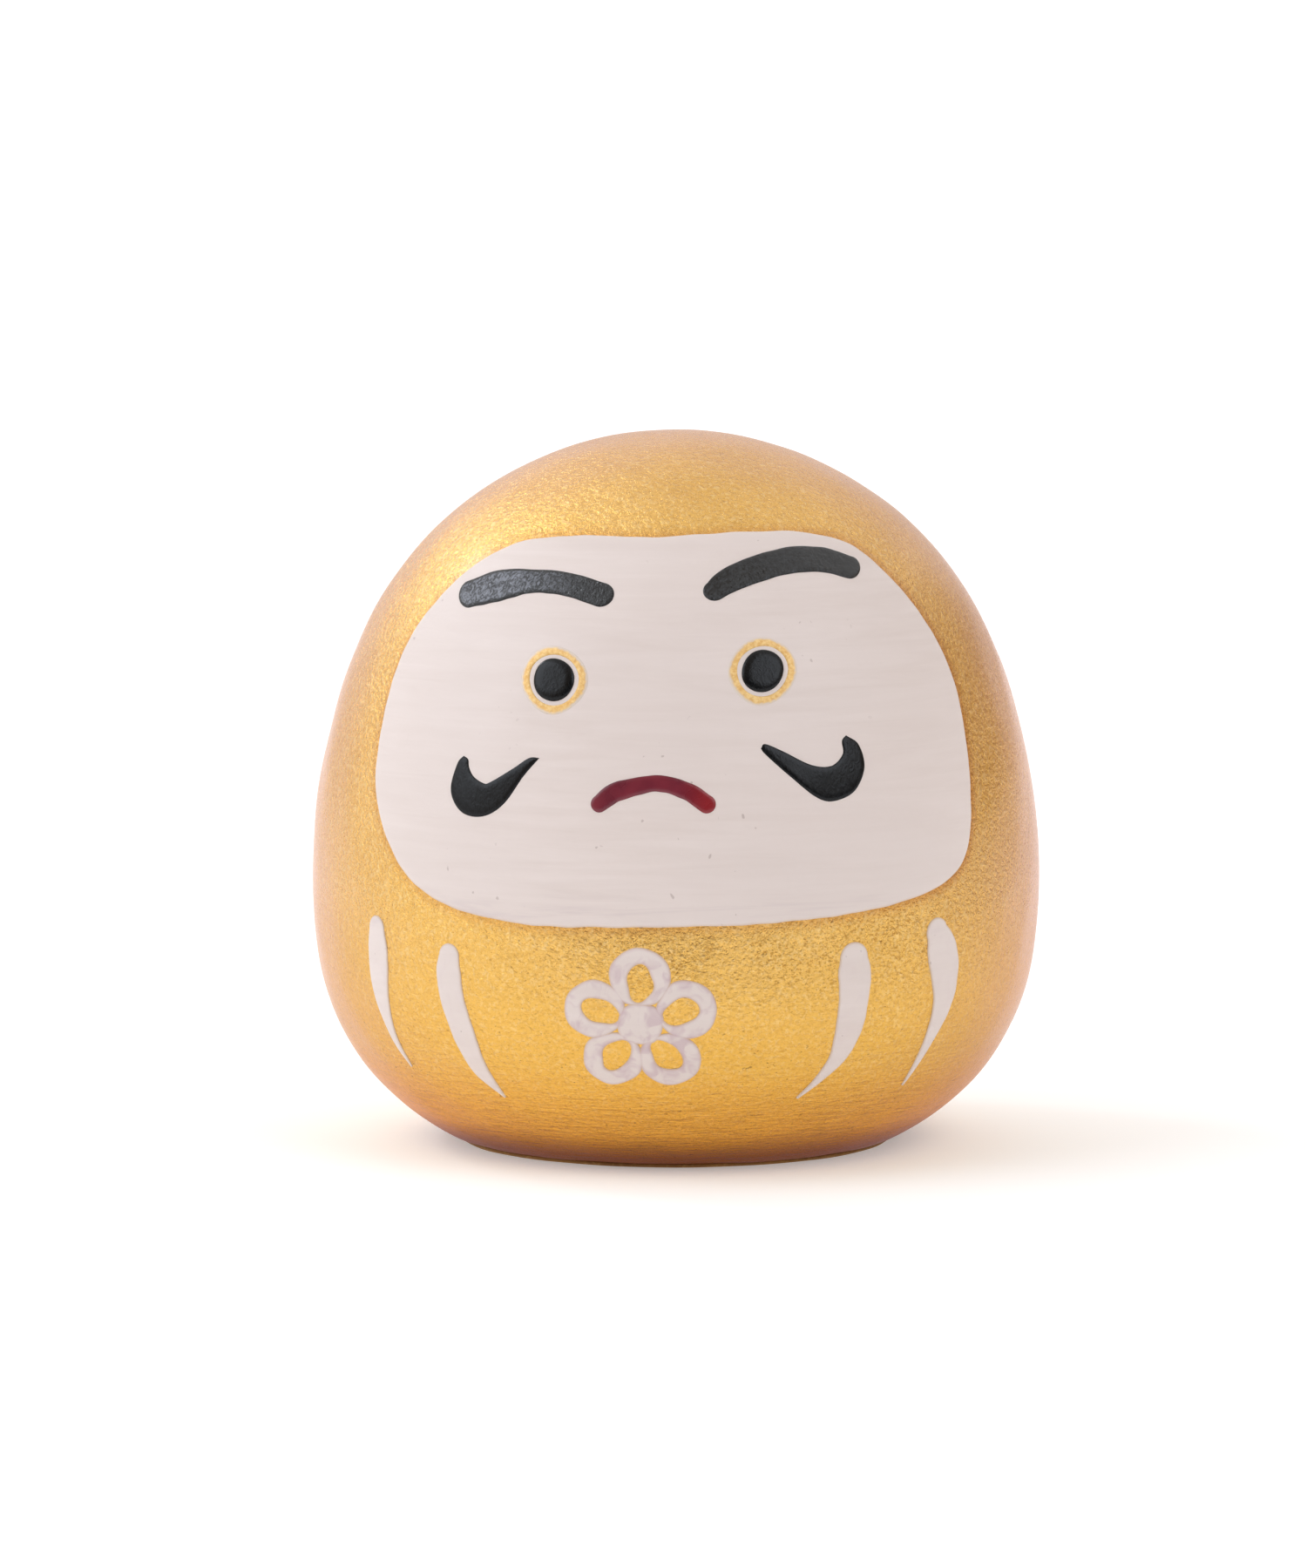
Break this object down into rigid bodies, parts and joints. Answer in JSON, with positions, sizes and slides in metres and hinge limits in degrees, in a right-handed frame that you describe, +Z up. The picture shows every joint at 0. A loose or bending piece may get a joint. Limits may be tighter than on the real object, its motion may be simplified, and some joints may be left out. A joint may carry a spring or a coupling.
{
  "type": "daruma doll",
  "caption": "Round hollow-paper doll with a weighted flat foot, a gold body and a painted off-white face with brows, ringed eyes, moustache and mouth.",
  "frame": {"origin": "centre of the foot, on the surface that the doll stands on", "axes": "+Z up through the crown, the face looks towards -Y, and +X is to the right as seen from the front, so a piece named left is on the -X side"},
  "size_m": [0.07, 0.0705, 0.0682],
  "materials": {
    "gold_paint": "satin metallic gold paint, slightly wrinkled",
    "white_paint": "soft matte off-white paint with brush streaks",
    "black_enamel": "thick semi-gloss black paint",
    "red_enamel": "thick glossy dark red paint",
    "ring_gold": "raised satin gold paint",
    "base_paper": "paper brushed with thin gold-brown paint",
    "pasted_paper": "plain pasted mulberry paper",
    "card": "plain grey-brown card",
    "dried_clay": "dry unfired clay"
  },
  "bodies": {
    "root": {"body_shell": "gold_paint", "clay_weight": "dried_clay", "weight_paper": "pasted_paper", "base_disc": "card", "base_paper": "base_paper", "face_coat": "white_paint", "brow_left": "black_enamel", "brow_right": "black_enamel", "eye_ring_left": "ring_gold", "eye_ring_right": "ring_gold", "pupil_left": "black_enamel", "pupil_right": "black_enamel", "moustache_left": "black_enamel", "moustache_right": "black_enamel", "mouth": "red_enamel", "robe_line_outer_left": "white_paint", "robe_line_inner_left": "white_paint", "robe_line_inner_right": "white_paint", "robe_line_outer_right": "white_paint", "crest": "white_paint"}
  },
  "joints": []
}
